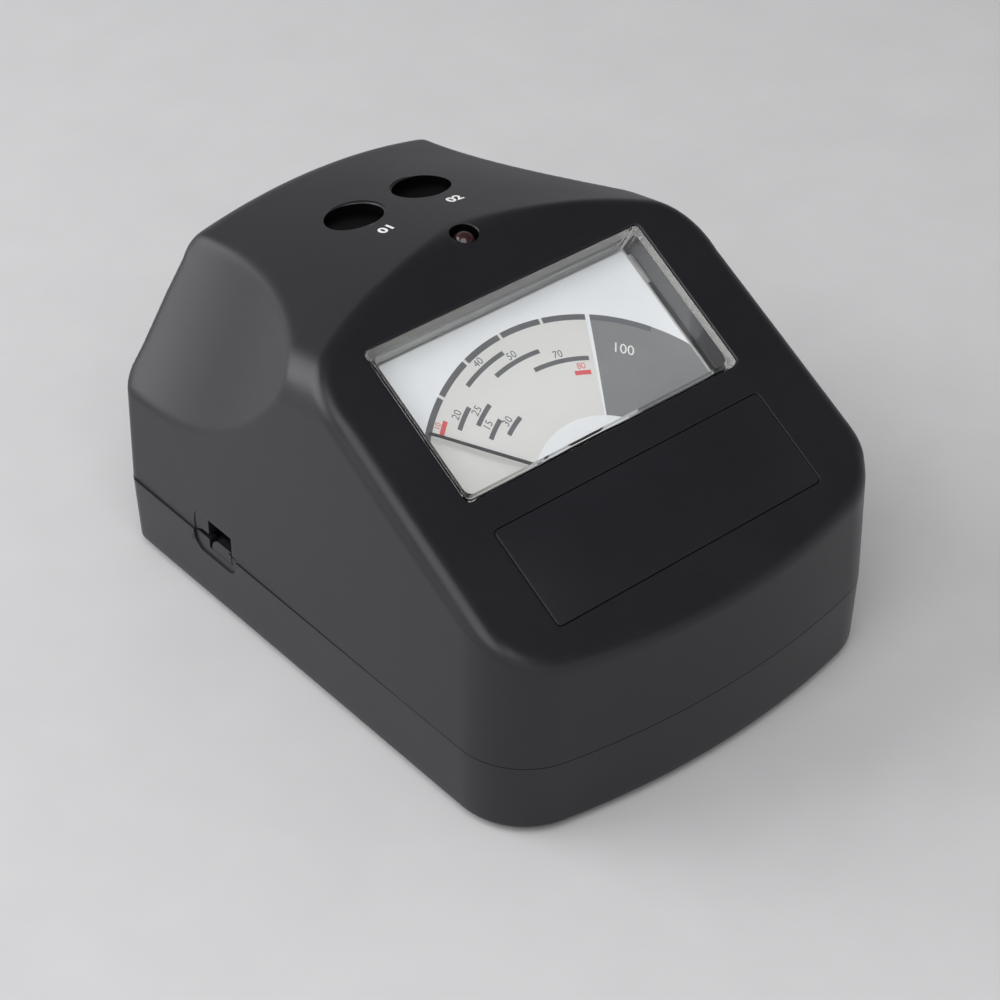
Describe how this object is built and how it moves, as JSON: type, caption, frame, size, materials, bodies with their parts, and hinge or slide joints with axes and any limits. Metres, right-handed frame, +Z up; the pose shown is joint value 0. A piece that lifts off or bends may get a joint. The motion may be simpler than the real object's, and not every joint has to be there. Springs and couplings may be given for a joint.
{
  "type": "gemstone tester",
  "caption": "Bench gemstone tester: black wedge housing with a needle meter behind a clear window, lamp on the ridge, reference discs in the deck and a probe socket at the side.",
  "frame": {"origin": "on the table plane under the feet, at the centre of the outline", "axes": "+X to the right of someone who reads the dial, +Y from the bowed front to the rear, +Z up"},
  "size_m": [0.1, 0.131, 0.0824],
  "materials": {
    "case_plastic": "satin black moulding",
    "plate_plastic": "smooth black, bare",
    "inner_plastic": "plain moulding",
    "foot_rubber": "matte",
    "screw_steel": "zinc plated",
    "black_glass": "polished black",
    "black_metal": "blackened",
    "red_lens": "tinted lens",
    "wire_red": "sleeved wire",
    "clear_cover": "clear moulding",
    "brass": "plain",
    "dial_white": "printed scale on white",
    "pointer_black": "black",
    "coil_wire": "enamelled copper",
    "magnet": "ground",
    "yoke_iron": "plated",
    "board_green": "solder resist",
    "chip_black": "moulded",
    "can_aluminium": "sleeved can",
    "socket_black": "plain",
    "switch_metal": "tinned shell",
    "cell_case": "plain sleeve",
    "contact_steel": "nickel plated"
  },
  "bodies": {
    "housing": {"upper_case": "case_plastic", "base_cover": "case_plastic", "rubber_feet": "foot_rubber", "case_screws": "screw_steel", "nameplate": "plate_plastic", "glass_disc": "black_glass", "metal_disc": "black_metal", "disc_retainer": "inner_plastic", "retainer_screws": "screw_steel", "indicator_led": "red_lens", "led_holder": "inner_plastic", "led_leads": "wire_red", "meter_cover": "clear_cover", "meter_body": "inner_plastic", "meter_screws": "screw_steel", "meter_terminals": "brass", "meter_leads": "wire_red", "dial_plate": "dial_white", "dial_screws": "screw_steel", "core_magnet": "magnet", "core_brackets": "brass", "yoke_ring": "yoke_iron", "front_bridge": "brass", "rear_bridge": "brass", "jewel_screws": "brass", "hairsprings": "brass", "circuit_board": "board_green", "board_screws": "screw_steel", "control_chip": "chip_black", "capacitors": "can_aluminium", "probe_socket": "socket_black", "power_switch": "switch_metal", "batteries": "cell_case", "battery_plates": "contact_steel", "battery_springs": "contact_steel"},
    "movement": {"pointer": "pointer_black", "pivot_spindles": "screw_steel", "moving_coil": "coil_wire"},
    "slider": {"switch_slider": "socket_black"},
    "door": {"battery_door": "case_plastic"}
  },
  "joints": [
    {"name": "pointer_swing", "type": "hinge", "parent": "housing", "child": "movement", "pos_m": [0, -0.03643, 0.04735], "axis": [0, 0.5, -0.866], "range_deg": [0, 92], "stiffness_Nm_per_rad": 0.0002},
    {"name": "switch_slide", "type": "slide", "parent": "housing", "child": "slider", "axis": [1, 0, 0], "range_m": [0, 0.003]},
    {"name": "door_drop", "type": "slide", "parent": "housing", "child": "door", "axis": [0, 0, -1], "range_m": [0, 0.02]}
  ]
}
